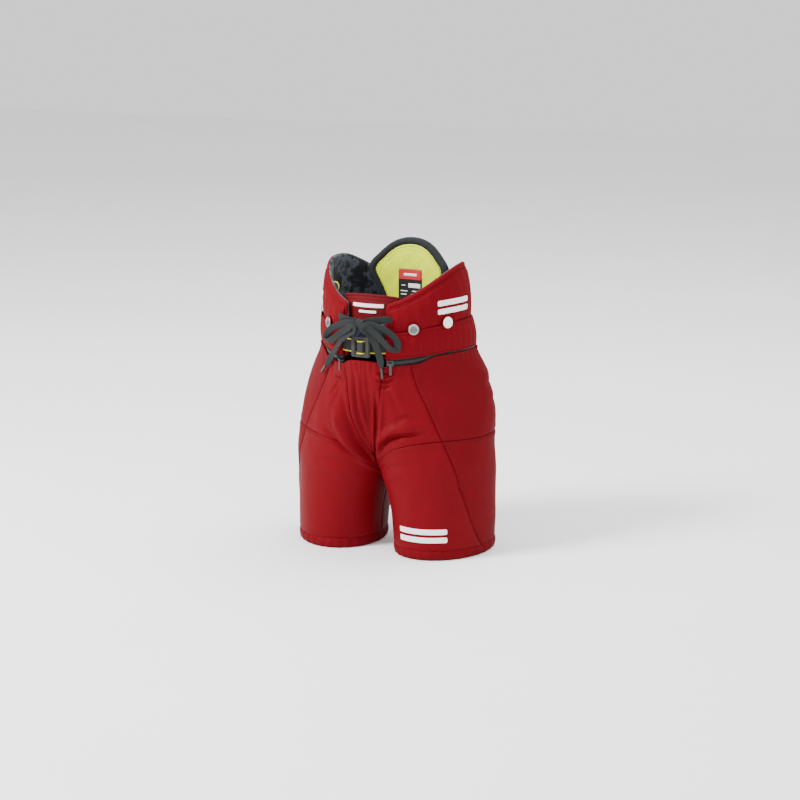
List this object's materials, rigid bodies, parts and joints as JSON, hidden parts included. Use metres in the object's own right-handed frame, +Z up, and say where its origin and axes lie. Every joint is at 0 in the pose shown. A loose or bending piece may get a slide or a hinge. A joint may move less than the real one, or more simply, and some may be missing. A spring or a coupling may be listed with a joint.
{
  "type": "hockey pants",
  "caption": "Padded youth ice hockey pants: two short leg tubes, laced and belted waist wings, spine pad, waist zip and suspender snaps.",
  "frame": {"origin": "on the floor, at the middle of the box round the pants without the lace", "axes": "+Z up; the front faces -Y; the wearer's left is +X"},
  "size_m": [0.2898, 0.2024, 0.4269],
  "materials": {
    "shell_nylon": "smooth satin nylon weave",
    "side_weave": "matte coarse nylon weave",
    "waist_knit": "fine knit",
    "lining": "soft patterned lining",
    "pad_foam": "soft foam",
    "guard_plastic": "moulded",
    "zip_tape": "woven tape",
    "zip_metal": "satin",
    "webbing": "woven webbing",
    "buckle_plastic": "fine grain",
    "snap_steel": "polished",
    "snap_white": "gloss enamel",
    "eyelet_metal": "black enamel",
    "pad_face": "brushed knit",
    "pad_binding": "rolled knit",
    "label_print": "printed satin",
    "lace_cord": "flat braid",
    "aglet_plastic": "smooth"
  },
  "bodies": {
    "shell": {"front_upper_panel_left": "shell_nylon", "front_upper_panel_right": "shell_nylon", "front_lower_panel_left": "shell_nylon", "front_lower_panel_right": "shell_nylon", "fly_panel": "shell_nylon", "back_lower_panel_left": "shell_nylon", "back_lower_panel_right": "shell_nylon", "side_upper_panel_left": "side_weave", "side_upper_panel_right": "side_weave", "side_lower_panel_left": "side_weave", "side_lower_panel_right": "side_weave", "seat_panel_left": "side_weave", "seat_panel_right": "side_weave", "hem_band_left": "side_weave", "hem_band_right": "side_weave", "leg_liner_left": "lining", "leg_liner_right": "lining", "waist_gusset": "lining", "thigh_guard_foam_left": "pad_foam", "thigh_guard_foam_right": "pad_foam", "hip_guard_foam_left": "pad_foam", "hip_guard_foam_right": "pad_foam", "thigh_guard_plate_left": "guard_plastic", "thigh_guard_plate_right": "guard_plastic", "zip_tape_lower_left": "zip_tape", "zip_tape_lower_right": "zip_tape"},
    "girdle": {"belt_tunnel_left": "waist_knit", "belt_tunnel_right": "waist_knit", "waist_wing_left": "waist_knit", "waist_wing_right": "waist_knit", "kidney_pad_left": "pad_foam", "kidney_pad_right": "pad_foam", "waist_liner_left": "lining", "waist_liner_right": "lining", "wing_binding_left": "waist_knit", "wing_binding_right": "waist_knit", "zip_tape_upper_left": "zip_tape", "zip_tape_upper_right": "zip_tape", "snap_front_left": "snap_steel", "snap_front_right": "snap_steel", "snap_side_left": "snap_white", "snap_side_right": "snap_white", "eyelet_left": "eyelet_metal", "eyelet_right": "eyelet_metal", "belt_webbing": "webbing", "lace_left": "lace_cord", "lace_right": "lace_cord", "aglet_left": "aglet_plastic", "aglet_right": "aglet_plastic"},
    "tongue": {"front_tongue": "waist_knit"},
    "back_pad": {"back_pad_foam": "pad_face", "back_pad_binding": "pad_binding", "size_label": "label_print"},
    "buckle": {"buckle_frame": "buckle_plastic"},
    "zip_slider_left": {"zip_slider_left": "zip_metal"},
    "zip_slider_right": {"zip_slider_right": "zip_metal"},
    "zip_pull_left": {"zip_pull_left": "zip_metal"},
    "zip_pull_right": {"zip_pull_right": "zip_metal"}
  },
  "joints": [
    {"name": "waist_extension", "type": "slide", "parent": "shell", "child": "girdle", "axis": [0, 0, 1], "range_m": [0, 0.025], "deforming": ["waist_gusset"]},
    {"name": "back_pad_tilt", "type": "hinge", "parent": "girdle", "child": "back_pad", "pos_m": [0, 0.0691, 0.296], "axis": [1, 0, 0], "range_deg": [0, 16]},
    {"name": "tongue_tilt", "type": "hinge", "parent": "girdle", "child": "tongue", "pos_m": [0, -0.07531, 0.29], "axis": [-1, 0, 0], "range_deg": [0, 25]},
    {"name": "buckle_rock", "type": "hinge", "parent": "girdle", "child": "buckle", "pos_m": [0, -0.09302, 0.2975], "axis": [0, 0, 1], "range_deg": [-7, 7]},
    {"name": "zip_slide_left", "type": "slide", "parent": "shell", "child": "zip_slider_left", "axis": [0.8707, 0.4919, 0], "range_m": [0, 0.0055]},
    {"name": "zip_pull_swing_left", "type": "hinge", "parent": "zip_slider_left", "child": "zip_pull_left", "pos_m": [0.03892, -0.08109, 0.27529], "axis": [-0.8707, -0.4919, -0.0017], "range_deg": [0, 90]},
    {"name": "zip_slide_right", "type": "slide", "parent": "shell", "child": "zip_slider_right", "axis": [-0.8707, 0.4919, 0], "range_m": [0, 0.0055]},
    {"name": "zip_pull_swing_right", "type": "hinge", "parent": "zip_slider_right", "child": "zip_pull_right", "pos_m": [-0.03892, -0.08109, 0.27529], "axis": [-0.8707, 0.4919, 0.0017], "range_deg": [0, 90]}
  ]
}
